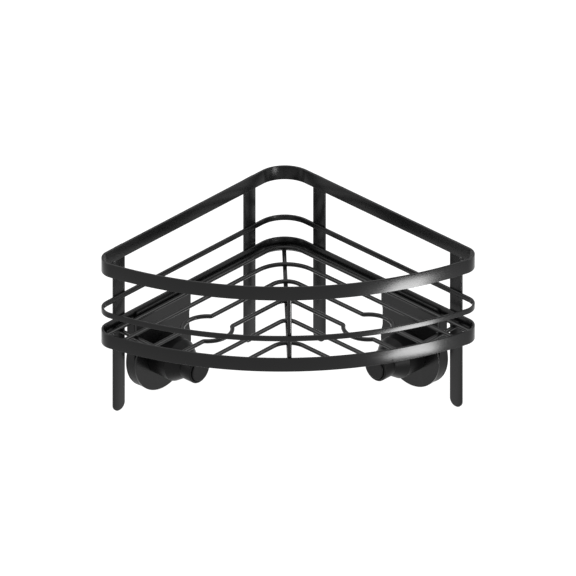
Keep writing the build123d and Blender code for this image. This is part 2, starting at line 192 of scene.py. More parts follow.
class CaddyStudio(bpy.types.PropertyGroup):
    """Camera and lighting of the studio."""

    azimuth: heading("Azimuth", "Camera's turn round the caddy", -1.305)
    elevation: heading("Elevation", "Camera's height above the horizon", 30)
    view_width: length("View width", "Width that the camera takes in", 460.8)
    aim_side: length("Aim side", "Aim point's shift to the camera's right", 0.985)
    aim_rise: length("Aim rise", "Aim point's shift up the camera's frame", 83.36)
    room_light: share("Room light", "Strength of the even light from all round", 1.0, 10)
    top_light: share("Top light", "Power of the large light overhead, in watts", 10, 500)
    side_light: share("Side lights", "Power of each light at the sides, in watts", 9.0, 500)
    low_light: share("Low light", "Power of the low light at the front right, in watts", 1.5, 500)
    low_azimuth: heading(
        "Low light's azimuth", "Way the low light's strip runs, from the right towards the rear", -47
    )
    floor_glow: share("Floor glow", "Light that the pale floor gives by itself", 1.0, 10)


def basket():
    """The scene's basket sizes."""
    return bpy.context.scene.caddy_basket


def mount():
    """The scene's mount sizes."""
    return bpy.context.scene.caddy_mount


def colours():
    """The scene's colours."""
    return bpy.context.scene.caddy_colours


# ---- plan geometry of the basket ----
def virtual_corner():
    """Y of the point where the two outer side planes meet."""
    return boxes["top_rail"][1].y + basket().rear_radius * (math.sqrt(2) - 1)


def on_side(hand, along, inset):
    """The plan point of a place on one side."""
    return Vector((hand * LEAD * (along - inset), virtual_corner() - LEAD * (along + inset)))


def on_circle(centre, radius, angle):
    """A plan point on a circle, the angle in radians."""
    return Vector((centre[0] + radius * math.cos(angle), centre[1] + radius * math.sin(angle)))


def side_run():
    """Where a side's straight ends, as a distance along it."""
    return (boxes["top_rail"][1].x - basket().front_radius) / LEAD + basket().front_radius


def front_arc():
    """The front arc's radius and centre's Y, the right corner arc's centre, and where they join."""
    low, high = boxes["top_rail"]
    reach = basket().front_radius
    corner = on_side(1, side_run(), reach)
    lead = corner.y - low.y
    radius = ((high.x - reach) ** 2 + lead**2 - reach**2) / (2 * (lead - reach))
    centre = radius + low.y
    return radius, centre, corner, math.atan2(corner.y - centre, corner.x)


def band_outline(inset):
    """Plan points of the closed line that runs round the basket at an inset."""
    radius, centre, corner, turn = front_arc()
    rear = (0, virtual_corner() - basket().rear_radius * math.sqrt(2))
    arcs = (
        (rear, basket().rear_radius, 3 * EIGHTH, EIGHTH, CORNER_STEPS),
        (corner, basket().front_radius, EIGHTH, turn, CORNER_STEPS),
        ((0, centre), radius, turn, -math.pi - turn, FRONT_STEPS),
        ((-corner.x, corner.y), basket().front_radius, -math.pi - turn, -5 * EIGHTH, CORNER_STEPS),
    )
    points = []
    for middle, bend, start, end, steps in arcs:
        turns = [start + (end - start) * k / steps for k in range(steps + 1)]
        arc = [on_circle(middle, bend - inset, here) for here in turns]
        points += arc if not points or (arc[0] - points[-1]).length > MM / 100 else arc[1:]
    return points


def inside_band(point, inset):
    """Whether a plan point in the basket's front half lies inside the line at an inset."""
    radius, centre, corner, turn = front_arc()
    x, y = abs(point[0]), point[1]
    if turn < math.atan2(y - corner.y, x - corner.x) < EIGHTH:
        return math.hypot(x - corner.x, y - corner.y) < basket().front_radius - inset
    return math.hypot(x, y - centre) < radius - inset


def reach_band(spot, near, far, inset, halvings=40):
    """The distance between near and far at which spot(distance) crosses the line at an inset."""
    for _ in range(halvings):
        middle = (near + far) / 2
        near, far = (middle, far) if inside_band(spot(middle), inset) else (near, middle)
    return near


def wall_matrix(hand, along, inset, height):
    """A frame on one side: X level along it, Y up, Z into the basket."""
    x, y = on_side(hand, along, inset)
    columns = ((LEAD, -hand * LEAD, 0), (0, 0, 1), (-hand * LEAD, -LEAD, 0), (x, y, height))
    return Matrix([[column[row] for column in columns] for row in range(3)] + [[0, 0, 0, 1]])


def place_of(node):
    """Along and inset of the middle of a CAD node that stands on one side."""
    low, high = boxes[node]
    x, y = abs(low.x + high.x) / 2, (low.y + high.y) / 2
    total = (virtual_corner() - y) / LEAD
    return (total + x / LEAD) / 2, (total - x / LEAD) / 2


def middle_height(node):
    """The height of a CAD node's middle."""
    low, high = boxes[node]
    return (low.z + high.z) / 2


def mount_matrix(hand, word):
    """The frame of one suction mount: Z along its axis from the wall, Y up."""
    along = place_of(f"bracket_{word}")[0]
    return wall_matrix(hand, along, -mount().cup_standoff, middle_height(f"{word}_button"))


# ---- mesh work ----
def add_piece(name, mesh, body, material=None):
    """Links a finished mesh as a piece on its body."""
    piece = bpy.data.objects.new(name, mesh)
    bpy.context.scene.collection.objects.link(piece)
    if material:
        mesh.materials.clear()
        mesh.materials.append(material)
    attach(piece, body)
    return piece


def smooth_mesh(name, bm, sharp=40):
    """A mesh from bmesh work, smooth but for edges sharper than an angle in degrees."""
    bmesh.ops.recalc_face_normals(bm, faces=bm.faces)
    mesh = bpy.data.meshes.new(name)
    bm.to_mesh(mesh)
    bm.free()
    mesh.shade_smooth()
    mesh.set_sharp_from_angle(angle=math.radians(sharp))
    return mesh


def softened(profile, steps=5):
    """Outline points (radius, height, rounding) with each corner that has a rounding made an arc."""
    points = []
    for k, (radius, height, *rest) in enumerate(profile):
        here = Vector((radius, height))
        if not rest:
            points.append(here)
            continue
        before = (Vector(profile[k - 1][:2]) - here).normalized()
        after = (Vector(profile[(k + 1) % len(profile)][:2]) - here).normalized()
        half = before.angle(after) / 2
        cut = rest[0] / math.tan(half)
        middle = here + (before + after).normalized() * rest[0] / math.sin(half)
        start, end = here + before * cut - middle, here + after * cut - middle
        sweep = start.angle_signed(end)
        for step in range(steps + 1):
            points.append(middle + Matrix.Rotation(-sweep * step / steps, 2) @ start)
    return points


def turned_mesh(name, profile, matrix):
    """A closed mesh turned about a frame's Z axis from its half outline."""
    steps = mount().turn_steps
    bm = bmesh.new()
    rings = []
    for radius, height in softened(profile):
        if radius < MM / 1000:
            rings.append([bm.verts.new((0, 0, height))])
            continue
        spots = [on_circle((0, 0), radius, 2 * math.pi * k / steps) for k in range(steps)]
        rings.append([bm.verts.new((x, y, height)) for x, y in spots])
    for here, after in zip(rings, rings[1:] + rings[:1]):
        if len(here) == 1 and len(after) == 1:
            continue
        for k in range(steps):
            corners = [here[k % len(here)], here[(k + 1) % len(here)]]
            corners += [after[(k + 1) % len(after)], after[k % len(after)]]
            bm.faces.new(list(dict.fromkeys(corners)))
    bm.transform(matrix)
    return smooth_mesh(name, bm)


def bar_mesh(name, outline, thickness, edge, matrix):
    """A flat bar piece from its outline, with all its long edges rounded."""
    bm = bmesh.new()
    face = bm.faces.new([bm.verts.new((x, y, 0)) for x, y in outline])
    grown = bmesh.ops.extrude_face_region(bm, geom=[face])["geom"]
    top = [v for v in grown if isinstance(v, bmesh.types.BMVert)]
    bmesh.ops.translate(bm, verts=top, vec=(0, 0, thickness))
    rims = [e for e in bm.edges if abs(e.verts[0].co.z - e.verts[1].co.z) < MM / 100]
    bmesh.ops.bevel(
        bm, geom=rims, offset=edge, segments=4, profile=0.5, affect="EDGES", clamp_overlap=True
    )
    bm.transform(matrix)
    return smooth_mesh(name, bm, 50)


# ---- geometry node trees ----
def new_tree(name, *inputs):
    """A geometry tree with Geometry in and out and the given inputs (name, kind, default)."""
    tree = bpy.data.node_groups.new(name, "GeometryNodeTree")
    tree.interface.new_socket("Geometry", in_out="INPUT", socket_type="NodeSocketGeometry")
    for label, kind, default in inputs:
        socket = tree.interface.new_socket(label, in_out="INPUT", socket_type=kind)
        if default is not None:
            socket.default_value = default
    tree.interface.new_socket("Geometry", in_out="OUTPUT", socket_type="NodeSocketGeometry")
    return tree, tree.nodes.new("NodeGroupInput"), tree.nodes.new("NodeGroupOutput")


def link(tree, start, end):
    """Joins an output to an input."""
    tree.links.new(start, end)


def close_tree(tree, given, ends, geometry):
    """Ends a tree: smooth shading, Realize Instances and Set Material."""
    smooth = tree.nodes.new("GeometryNodeSetShadeSmooth")
    realize = tree.nodes.new("GeometryNodeRealizeInstances")
    paint = tree.nodes.new("GeometryNodeSetMaterial")
    link(tree, geometry, smooth.inputs["Geometry"])
    link(tree, smooth.outputs["Geometry"], realize.inputs["Geometry"])
    link(tree, realize.outputs["Geometry"], paint.inputs["Geometry"])
    link(tree, given.outputs["Material"], paint.inputs["Material"])
    link(tree, paint.outputs["Geometry"], ends.inputs["Geometry"])
    return tree


def band_tree():
    """Flat bar with rounded edges along a level line."""
    name = "Flat Bar Along Line"
    if name in bpy.data.node_groups:
        return bpy.data.node_groups[name]
    tree, given, ends = new_tree(
        name,
        ("Bar Height", "NodeSocketFloat", 12.3 * MM),
        ("Bar Thickness", "NodeSocketFloat", 1.8 * MM),
        ("Edge Radius", "NodeSocketFloat", 0.4 * MM),
        ("Material", "NodeSocketMaterial", None),
    )
    curve = tree.nodes.new("GeometryNodeMeshToCurve")
    upright = tree.nodes.new("GeometryNodeSetCurveNormal")
    upright.mode = "Z_UP"
    section = tree.nodes.new("GeometryNodeCurvePrimitiveQuadrilateral")
    rounded = tree.nodes.new("GeometryNodeFilletCurve")
    rounded.mode = "POLY"
    rounded.inputs["Count"].default_value = 4
    sweep = tree.nodes.new("GeometryNodeCurveToMesh")
    link(tree, given.outputs["Geometry"], curve.inputs["Mesh"])
    link(tree, curve.outputs["Curve"], upright.inputs["Curve"])
    link(tree, given.outputs["Bar Thickness"], section.inputs["Width"])
    link(tree, given.outputs["Bar Height"], section.inputs["Height"])
    link(tree, section.outputs["Curve"], rounded.inputs["Curve"])
    link(tree, given.outputs["Edge Radius"], rounded.inputs["Radius"])
    link(tree, upright.outputs["Curve"], sweep.inputs["Curve"])
    link(tree, rounded.outputs["Curve"], sweep.inputs["Profile Curve"])
    return close_tree(tree, given, ends, sweep.outputs["Mesh"])


def wire_tree():
    """Round wire along a line, closed at its ends."""
    name = "Round Wire Along Line"
    if name in bpy.data.node_groups:
        return bpy.data.node_groups[name]
    tree, given, ends = new_tree(
        name,
        ("Wire Radius", "NodeSocketFloat", 1.8 * MM),
        ("Sides", "NodeSocketInt", 24),
        ("Material", "NodeSocketMaterial", None),
    )
    curve = tree.nodes.new("GeometryNodeMeshToCurve")
    section = tree.nodes.new("GeometryNodeCurvePrimitiveCircle")
    sweep = tree.nodes.new("GeometryNodeCurveToMesh")
    sweep.inputs["Fill Caps"].default_value = True
    link(tree, given.outputs["Geometry"], curve.inputs["Mesh"])
    link(tree, given.outputs["Sides"], section.inputs["Resolution"])
    link(tree, given.outputs["Wire Radius"], section.inputs["Radius"])
    link(tree, curve.outputs["Curve"], sweep.inputs["Curve"])
    link(tree, section.outputs["Curve"], sweep.inputs["Profile Curve"])
    return close_tree(tree, given, ends, sweep.outputs["Mesh"])


def bead_tree():
    """A flattened weld bead on every point, turned and sized by the point's own attributes."""
    name = "Weld Beads On Points"
    if name in bpy.data.node_groups:
        return bpy.data.node_groups[name]
    tree, given, ends = new_tree(
        name,
        ("Bead Radius", "NodeSocketFloat", 2.5 * MM),
        ("Unevenness", "NodeSocketFloat", 0.12),
        ("Seed", "NodeSocketInt", 7),
        ("Material", "NodeSocketMaterial", None),
    )
    points = tree.nodes.new("GeometryNodeMeshToPoints")
    ball = tree.nodes.new("GeometryNodeMeshUVSphere")
    ball.inputs["Segments"].default_value = 20
    ball.inputs["Rings"].default_value = 12
    facing = tree.nodes.new("GeometryNodeInputNamedAttribute")
    facing.data_type = "FLOAT_VECTOR"
    facing.inputs["Name"].default_value = "facing"
    stretch = tree.nodes.new("GeometryNodeInputNamedAttribute")
    stretch.data_type = "FLOAT_VECTOR"
    stretch.inputs["Name"].default_value = "stretch"
    turn = tree.nodes.new("FunctionNodeAlignRotationToVector")
    turn.axis = "Z"
    draw = tree.nodes.new("FunctionNodeRandomValue")
    draw.data_type = "FLOAT"
    low = tree.nodes.new("ShaderNodeMath")
    low.operation = "SUBTRACT"
    low.inputs[0].default_value = 1
    vary = tree.nodes.new("ShaderNodeVectorMath")
    vary.operation = "SCALE"
    spread = tree.nodes.new("GeometryNodeInstanceOnPoints")
    link(tree, given.outputs["Geometry"], points.inputs["Mesh"])
    link(tree, given.outputs["Bead Radius"], ball.inputs["Radius"])
    link(tree, facing.outputs["Attribute"], turn.inputs["Vector"])
    link(tree, given.outputs["Unevenness"], low.inputs[1])
    link(tree, low.outputs[0], draw.inputs["Min"])
    link(tree, given.outputs["Seed"], draw.inputs["Seed"])
    link(tree, stretch.outputs["Attribute"], vary.inputs[0])
    link(tree, draw.outputs["Value"], vary.inputs["Scale"])
    link(tree, points.outputs["Points"], spread.inputs["Points"])
    link(tree, ball.outputs["Mesh"], spread.inputs["Instance"])
    link(tree, turn.outputs["Rotation"], spread.inputs["Rotation"])
    link(tree, vary.outputs["Vector"], spread.inputs["Scale"])
    return close_tree(tree, given, ends, spread.outputs["Instances"])


def grown_mesh(name, source, tree, **values):
    """The plain mesh that a tree makes from a source mesh, its inputs set by name."""
    carrier = bpy.data.objects.new(name + "_source", source)
    bpy.context.scene.collection.objects.link(carrier)
    modifier = carrier.modifiers.new("Shape", "NODES")
    modifier.node_group = tree
    sockets = {s.name: s.identifier for s in tree.interface.items_tree if s.in_out == "INPUT"}
    for label, value in values.items():
        modifier[sockets[label.replace("_", " ").title()]] = value
    graph = bpy.context.evaluated_depsgraph_get()
    mesh = bpy.data.meshes.new_from_object(carrier.evaluated_get(graph), depsgraph=graph)
    mesh.name = name
    bpy.data.objects.remove(carrier)
    if not mesh.polygons:
        raise RuntimeError(f"{name} came out empty")
    return mesh


def line_mesh(name, points, closed=False):
    """A mesh of edges through points in order."""
    mesh = bpy.data.meshes.new(name)
    edges = [(k, k + 1) for k in range(len(points) - 1)]
    mesh.from_pydata([tuple(p) for p in points], edges + [(len(points) - 1, 0)] * closed, [])
    return mesh


# ---- finishes ----
def float_inputs(group, *inputs):
    """Gives a shader group plain number inputs (name, default)."""
    for label, default in inputs:
        socket = group.interface.new_socket(label, in_out="INPUT", socket_type="NodeSocketFloat")
        socket.default_value = default


def grain_group():
    """Fine relief and slightly uneven gloss, on object coordinates."""
    name = "Surface Grain"
    if name in bpy.data.node_groups:
        return bpy.data.node_groups[name]
    group = bpy.data.node_groups.new(name, "ShaderNodeTree")
    amounts = ("Roughness", 0.4), ("Unevenness", 0.08)
    float_inputs(group, ("Grain Size", 1.1), ("Detail", 2.0), *amounts)
    for label in ("Height", "Roughness"):
        group.interface.new_socket(label, in_out="OUTPUT", socket_type="NodeSocketFloat")
    given, ends = group.nodes.new("NodeGroupInput"), group.nodes.new("NodeGroupOutput")
    place = group.nodes.new("ShaderNodeTexCoord")
    scale = group.nodes.new("ShaderNodeMath")
    scale.operation = "DIVIDE"
    scale.inputs[0].default_value = 1 / MM
    fine = group.nodes.new("ShaderNodeTexNoise")
    broad = group.nodes.new("ShaderNodeTexNoise")
    broad.inputs["Scale"].default_value = 45
    broad.inputs["Detail"].default_value = 3
    spread = group.nodes.new("ShaderNodeMath")
    spread.operation = "MULTIPLY_ADD"
    centred = group.nodes.new("ShaderNodeMath")
    centred.operation = "SUBTRACT"
    centred.inputs[1].default_value = 0.5
    link(group, given.outputs["Grain Size"], scale.inputs[1])
    link(group, place.outputs["Object"], fine.inputs["Vector"])
    link(group, scale.outputs[0], fine.inputs["Scale"])
    link(group, given.outputs["Detail"], fine.inputs["Detail"])
    link(group, place.outputs["Object"], broad.inputs["Vector"])
    link(group, broad.outputs["Fac"], centred.inputs[0])
    link(group, centred.outputs[0], spread.inputs[0])
    link(group, given.outputs["Unevenness"], spread.inputs[1])
    link(group, given.outputs["Roughness"], spread.inputs[2])
    link(group, fine.outputs["Fac"], ends.inputs["Height"])
    link(group, spread.outputs[0], ends.inputs["Roughness"])
    return group


def tone_group():
    """A colour that drifts slightly over the surface, with a painted highlight that makes it lighter
    along convex edges.
    """
    name = "Tone And Edges"
    if name in bpy.data.node_groups:
        return bpy.data.node_groups[name]
    group = bpy.data.node_groups.new(name, "ShaderNodeTree")
    for label in ("Colour", "Drift Colour", "Painted Highlight Colour"):
        group.interface.new_socket(label, in_out="INPUT", socket_type="NodeSocketColor")
    float_inputs(group, ("Patch Size", 18.0), ("Edge Amount", 0.5))
    group.interface.new_socket("Colour", in_out="OUTPUT", socket_type="NodeSocketColor")
    group.interface.new_socket("Edge Mask", in_out="OUTPUT", socket_type="NodeSocketFloat")
    given, ends = group.nodes.new("NodeGroupInput"), group.nodes.new("NodeGroupOutput")
    place = group.nodes.new("ShaderNodeTexCoord")
    scale = group.nodes.new("ShaderNodeMath")
    scale.operation = "DIVIDE"
    scale.inputs[0].default_value = 1 / MM
    patches = group.nodes.new("ShaderNodeTexNoise")
    patches.inputs["Detail"].default_value = 4
    drift = group.nodes.new("ShaderNodeMix")
    drift.data_type = "RGBA"
    rim = group.nodes.new("ShaderNodeMix")
    rim.data_type = "RGBA"
    shape = group.nodes.new("ShaderNodeNewGeometry")
    convex = group.nodes.new("ShaderNodeMapRange")
    convex.inputs["From Min"].default_value = 0.52
    convex.inputs["From Max"].default_value = 0.62
    amount = group.nodes.new("ShaderNodeMath")
    amount.operation = "MULTIPLY"
    link(group, given.outputs["Patch Size"], scale.inputs[1])
    link(group, place.outputs["Object"], patches.inputs["Vector"])
    link(group, scale.outputs[0], patches.inputs["Scale"])
    link(group, patches.outputs["Fac"], drift.inputs["Factor"])
    link(group, given.outputs["Colour"], drift.inputs["A"])
    link(group, given.outputs["Drift Colour"], drift.inputs["B"])
    # painted highlight: pointiness marks convex edges, where the colour is made lighter
    link(group, shape.outputs["Pointiness"], convex.inputs["Value"])
    link(group, convex.outputs["Result"], amount.inputs[0])
    link(group, given.outputs["Edge Amount"], amount.inputs[1])
    link(group, amount.outputs[0], rim.inputs["Factor"])
    link(group, drift.outputs["Result"], rim.inputs["A"])
    link(group, given.outputs["Painted Highlight Colour"], rim.inputs["B"])
    link(group, rim.outputs["Result"], ends.inputs["Colour"])
    link(group, amount.outputs[0], ends.inputs["Edge Mask"])
    return group


def finish(
    name, colour, roughness, grain, relief, unevenness=0.08, metallic=0.0, specular=0.5, edge=0.4
):
    """A finish with its own colour, gloss and grain; grain and relief are in millimetres."""
    if name in bpy.data.materials:
        return bpy.data.materials[name]
    material = bpy.data.materials.new(name)
    material.use_nodes = True
    tree = material.node_tree
    shader = tree.nodes["Principled BSDF"]
    shader.inputs["Metallic"].default_value = metallic
    shader.inputs["Specular IOR Level"].default_value = specular
    tone = tree.nodes.new("ShaderNodeGroup")
    tone.node_tree = tone_group()
    tone.inputs["Colour"].default_value = (*colour, 1)
    tone.inputs["Drift Colour"].default_value = (*[c * DRIFT_GAIN for c in colour], 1)
    # painted highlight: a lighter colour laid along convex edges
    highlight_colour = [min(1, c * EDGE_HIGHLIGHT_GAIN + EDGE_HIGHLIGHT_LIFT) for c in colour]
    tone.inputs["Painted Highlight Colour"].default_value = (*highlight_colour, 1)
    tone.inputs["Edge Amount"].default_value = edge
    surface = tree.nodes.new("ShaderNodeGroup")
    surface.node_tree = grain_group()
    surface.inputs["Grain Size"].default_value = grain
    surface.inputs["Roughness"].default_value = roughness
    surface.inputs["Unevenness"].default_value = unevenness
    bump = tree.nodes.new("ShaderNodeBump")
    bump.inputs["Distance"].default_value = relief * MM
    link(tree, tone.outputs["Colour"], shader.inputs["Base Color"])
    link(tree, surface.outputs["Roughness"], shader.inputs["Roughness"])
    link(tree, surface.outputs["Height"], bump.inputs["Height"])
    link(tree, bump.outputs["Normal"], shader.inputs["Normal"])
    return material


def powder_coat():
    """Black powder coat of the flat bars and brackets."""
    sheen = colours().coat_gloss
    return finish("powder_coat", colours().coat, sheen, grain=1.1, relief=0.012, specular=0.23)


def coated_wire():
    """The same coat on wire, slightly glossier."""
    sheen = colours().coat_gloss - 0.04
    return finish("coated_wire", colours().coat, sheen, grain=0.9, relief=0.008, specular=0.23)


def shell_plastic():
    """Satin plastic of the shells."""
    return finish("shell_plastic", colours().plastic, 0.4, grain=0.35, relief=0.006, specular=0.12)


def button_plastic():
    """Smoother plastic of the buttons."""
    return finish("button_plastic", colours().plastic, 0.34, grain=0.5, relief=0.004, specular=0.14)


def base_plastic():
    """Duller plastic of the backings and bases."""
    return finish("base_plastic", colours().plastic, 0.46, grain=0.45, relief=0.01, specular=0.12)


def cup_rubber():
    """Soft dull rubber of the cups."""
    return finish(
        "cup_rubber", colours().rubber, 0.5, grain=0.8, relief=0.006, unevenness=0.14, specular=0.12
    )


def metal(name, colour, roughness, grain, relief, unevenness):
    """A bare or plated metal finish."""
    return finish(name, colour, roughness, grain, relief, unevenness=unevenness, metallic=1.0)


def plated_steel():
    """Bright plating on stems, nuts, pins and screws."""
    return metal("plated_steel", colours().steel, 0.28, grain=0.6, relief=0.003, unevenness=0.2)


def rocker_steel():
    """Pressed steel of the rockers."""
    return metal("rocker_steel", colours().steel, 0.36, grain=0.3, relief=0.006, unevenness=0.24)


def spring_steel():
    """Darker wire of springs and detent rings."""
    return metal("spring_steel", colours().spring, 0.3, grain=0.4, relief=0.003, unevenness=0.16)


def paint_nodes(material, *nodes):
    """Gives CAD nodes that stay in sight their finish."""
    for node in nodes:
        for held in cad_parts[node].material_slots:
            held.material = material


# ---- pieces of the basket ----
class CADDY_OT_rails(bpy.types.Operator):
    """Makes the three closed flat rails"""

    bl_idname = "caddy.rails"
    bl_label = "Rails"

    def execute(self, context):
        line = band_outline(basket().rail_thickness / 2)
        for word in ("top", "mid", "bottom"):
            low, high = boxes[f"{word}_rail"]
            middle = middle_height(f"{word}_rail")
            source = line_mesh(f"{word}_line", [(x, y, middle) for x, y in line], closed=True)
            mesh = grown_mesh(
                f"{word}_band",
                source,
                band_tree(),
                bar_height=high.z - low.z,
                bar_thickness=basket().rail_thickness,
                edge_radius=basket().bar_edge,
                material=powder_coat(),
            )
            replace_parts(add_piece(f"{word}_band", mesh, "root"), f"{word}_rail")
        return {"FINISHED"}


class CADDY_OT_posts(bpy.types.Operator):
    """Makes the four flat posts with their round feet"""

    bl_idname = "caddy.posts"
    bl_label = "Posts"

    def execute(self, context):
        sizes = basket()
        half, foot, top = sizes.post_width / 2, sizes.foot_radius, sizes.post_top_radius
        for hand, word in HANDS:
            for end in ("rear", "front"):
                node = f"{end}_post_{word}"
                low, high = boxes[node]
                tall = high.z - low.z
                corners = (
                    (half - foot, foot, foot, -90, 0),
                    (half - top, tall - top, top, 0, 90),
                    (top - half, tall - top, top, 90, 180),
                    (foot - half, foot, foot, 180, 270),
                )
                outline = []
                for x, y, radius, start, finish_at in corners:
                    steps = FOOT_STEPS if radius == foot else TOP_STEPS
                    turns = [start + (finish_at - start) * k / steps for k in range(steps + 1)]
                    outline += [on_circle((x, y), radius, math.radians(turn)) for turn in turns]
                name = f"{end}_leg_{word}"
                matrix = wall_matrix(hand, place_of(node)[0], -sizes.post_thickness, low.z)
                mesh = bar_mesh(name, outline, sizes.post_thickness, sizes.bar_edge, matrix)
                piece = add_piece(name, mesh, "root", powder_coat())
                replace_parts(piece, node)
        return {"FINISHED"}


def wire_bend(index):
    """Bend radius of a floor wire's middle line."""
    return WIRE_BENDS[index] * MM


def wire_inset(index):
    """Inset of a floor wire's arms, from the place of its crown."""
    crown = boxes[f"floor_wire_{index + 1}"][1].y - basket().wire_diameter / 2
    bend = wire_bend(index)
    return (virtual_corner() + bend - crown) * LEAD - bend


def hole_line():
    """Inset of the bottle holes' middles, halfway between the two wires round them."""
    return sum(wire_inset(index) for index in HOLE_WIRES) / 2


def arm_points(hand, index, finish_at):
    """Plan points of one arm of a floor wire, from the end of its bend to its own end."""
    sizes = basket()
    inset = wire_inset(index)
    start = on_side(hand, inset + wire_bend(index), inset)
    last = on_side(hand, finish_at, inset)
    if index not in HOLE_WIRES:
        return [start, last]
    side = 1 if index == HOLE_WIRES[1] else -1
    offset = abs(inset - hole_line())
    spread = sizes.hole_radius + sizes.kink_radius
    run = math.sqrt(spread**2 - (offset + sizes.kink_radius) ** 2)
    lean = math.atan2(run, offset + sizes.kink_radius)

    def spot(along, inward):
        return on_side(hand, sizes.hole_place + along, hole_line() + side * inward)

    kink = []
    for step in range(KINK_STEPS + 1):
        turn = lean * step / KINK_STEPS
        rise = sizes.kink_radius * (1 - math.cos(turn))
        kink.append((sizes.kink_radius * math.sin(turn) - run, offset + rise))
    bow = [lean * (2 * step / BOW_STEPS - 1) for step in range(1, BOW_STEPS)]
    points = [spot(*place) for place in kink]
    points += [spot(sizes.hole_radius * math.sin(t), sizes.hole_radius * math.cos(t)) for t in bow]
    points += [spot(-along, inward) for along, inward in reversed(kink)]
    return [start, *points, last]


def wire_end(hand, inset):
    """How far along a side a floor wire's arm runs before it meets the rail."""
    rail = basket().rail_thickness - WIRE_BITE
    near, far = side_run() / 2, side_run() * 1.3
    return reach_band(lambda along: on_side(hand, along, inset), near, far, rail)


def floor_wire_points(index):
    """Plan points of a floor wire from end to end."""
    inset, bend = wire_inset(index), wire_bend(index)
    finish_at = wire_end(1, inset)
    centre = (0, virtual_corner() - math.sqrt(2) * (inset + bend))
    turns = [EIGHTH * (3 - 2 * step / BEND_STEPS) for step in range(1, BEND_STEPS)]
    left, right = (arm_points(hand, index, finish_at) for hand in (-1, 1))
    return left[::-1] + [on_circle(centre, bend, turn) for turn in turns] + right


def add_wire(name, points, node):
    """A round wire along points, in place of its CAD node."""
    mesh = grown_mesh(
        name,
        line_mesh(name + "_line", points),
        wire_tree(),
        wire_radius=basket().wire_diameter / 2,
        material=coated_wire(),
    )
    mesh.set_sharp_from_angle(angle=math.radians(60))
    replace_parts(add_piece(name, mesh, "root"), node)


def cross_wire_place():
    """Where along a side its cross wire stands."""
    return side_run() - basket().corner_wire_setback


def cross_wire_ends(hand):
    """The insets between which a cross wire runs."""
    rail = basket().rail_thickness - CROSS_BITE
    near, far = side_run() / 10, side_run()
    return rail, reach_band(lambda inset: on_side(hand, cross_wire_place(), inset), near, far, rail)


class CADDY_OT_wires(bpy.types.Operator):
    """Makes the bent floor wires, the spine, the cross wires and the front strut"""

    bl_idname = "caddy.wires"
    bl_label = "Wires"

    def execute(self, context):
        for index in range(len(WIRE_BENDS)):
            node = f"floor_wire_{index + 1}"
            level = middle_height(node)
            points = [(x, y, level) for x, y in floor_wire_points(index)]
            add_wire(f"floor_rod_{index + 1}", points, node)
        low, high = boxes["spine_wire"]
        level = middle_height("spine_wire")
        points = [(0, high.y + CROSS_BITE, level), (0, low.y - CROSS_BITE, level)]
        add_wire("spine_rod", points, "spine_wire")
        for hand, word in HANDS:
            node = f"corner_wire_{word}"
            level = middle_height(node)
            ends = [on_side(hand, cross_wire_place(), inset) for inset in cross_wire_ends(hand)]
            add_wire(f"cross_rod_{word}", [(x, y, level) for x, y in ends], node)
        low, high = boxes["front_strut"]
        back = (low.y + high.y) / 2
        add_wire("upright_rod", [(0, back, low.z), (0, back, high.z)], "front_strut")
        return {"FINISHED"}


class CADDY_OT_weld_beads(bpy.types.Operator):
    """Makes the weld beads of the wires, the strut and the front posts"""

    bl_idname = "caddy.weld_beads"
    bl_label = "Weld beads"

    def execute(self, context):
        sizes = basket()
        radius = sizes.wire_diameter / 2
        places, facings, stretches = [], [], []

        def bead(point, facing, stretch):
            places.append(tuple(point))
            facings.append(tuple(facing))
            stretches.append(stretch)

        _, centre, corner, _ = front_arc()
        level = middle_height("floor_wire_1")
        for index in range(len(WIRE_BENDS)):
            for hand in (-1, 1):
                inset = wire_inset(index)
                x, y = on_side(hand, wire_end(hand, inset) - END_SETBACK, inset)
                away = (x, y - centre, 0) if index else (x - hand * corner.x, y - corner.y, 0)
                bead((x, y, level - END_DROP), away, END_BEAD)
        spine = middle_height("spine_wire")
        between = (level + spine) / 2
        for index in range(len(WIRE_BENDS)):
            crown = boxes[f"floor_wire_{index + 1}"][1].y - radius
            bead((0, crown, between), (0, 0, 1), CROWN_BEAD)
        low, high = boxes["spine_wire"]
        bead((0, low.y + SPINE_SETBACK, spine), (0, -1, 0), SPINE_BEAD)
        bead((0, high.y - SPINE_SETBACK, spine), (0, 1, 0), SPINE_BEAD)
        front = boxes["front_strut"][0].y + STRUT_SETBACK
        for node in ("top_rail", "mid_rail", "bottom_rail"):
            for way in (-1, 1):
                spot = (way * radius * STRUT_SIDE, front, middle_height(node))
                bead(spot, (way * STRUT_TURN, -1, 0), STRUT_BEAD)
        for hand, word in HANDS:
            for node in ("top_rail", "bottom_rail"):
                edge = place_of(f"front_post_{word}")[0] + sizes.post_width / 2
                x, y = on_side(hand, edge + TACK_SHIFT, sizes.rail_thickness / 2)
                bead((x, y, boxes[node][0].z - TACK_DROP), (hand * LEAD, -LEAD, 0), TACK_BEAD)
            for inset in cross_wire_ends(hand):
                x, y = on_side(hand, cross_wire_place(), inset)
                bead((x, y, spine), (hand * LEAD, LEAD, 0), CROSS_BEAD)
        mesh = bpy.data.meshes.new("bead_points")
        mesh.from_pydata(places, [], [])
        for label, rows in (("facing", facings), ("stretch", stretches)):
            held = mesh.attributes.new(label, "FLOAT_VECTOR", "POINT")
            held.data.foreach_set("vector", [value for row in rows for value in row])
        grown = grown_mesh(
            "weld_beads", mesh, bead_tree(), bead_radius=sizes.bead_radius, material=coated_wire()
        )
        add_piece("weld_beads", grown, "root")
        return {"FINISHED"}


class CADDY_OT_brackets(bpy.types.Operator):
    """Finishes the two bracket plates"""

    bl_idname = "caddy.brackets"
    bl_label = "Brackets"

    def execute(self, context):
        paint_nodes(powder_coat(), "bracket_left", "bracket_right")
        return {"FINISHED"}


# ---- pieces of the mounts ----
def hub_start():
    """Where a shell starts on its mount's axis."""
    return mount().cup_standoff + basket().rail_thickness + mount().bracket_thickness


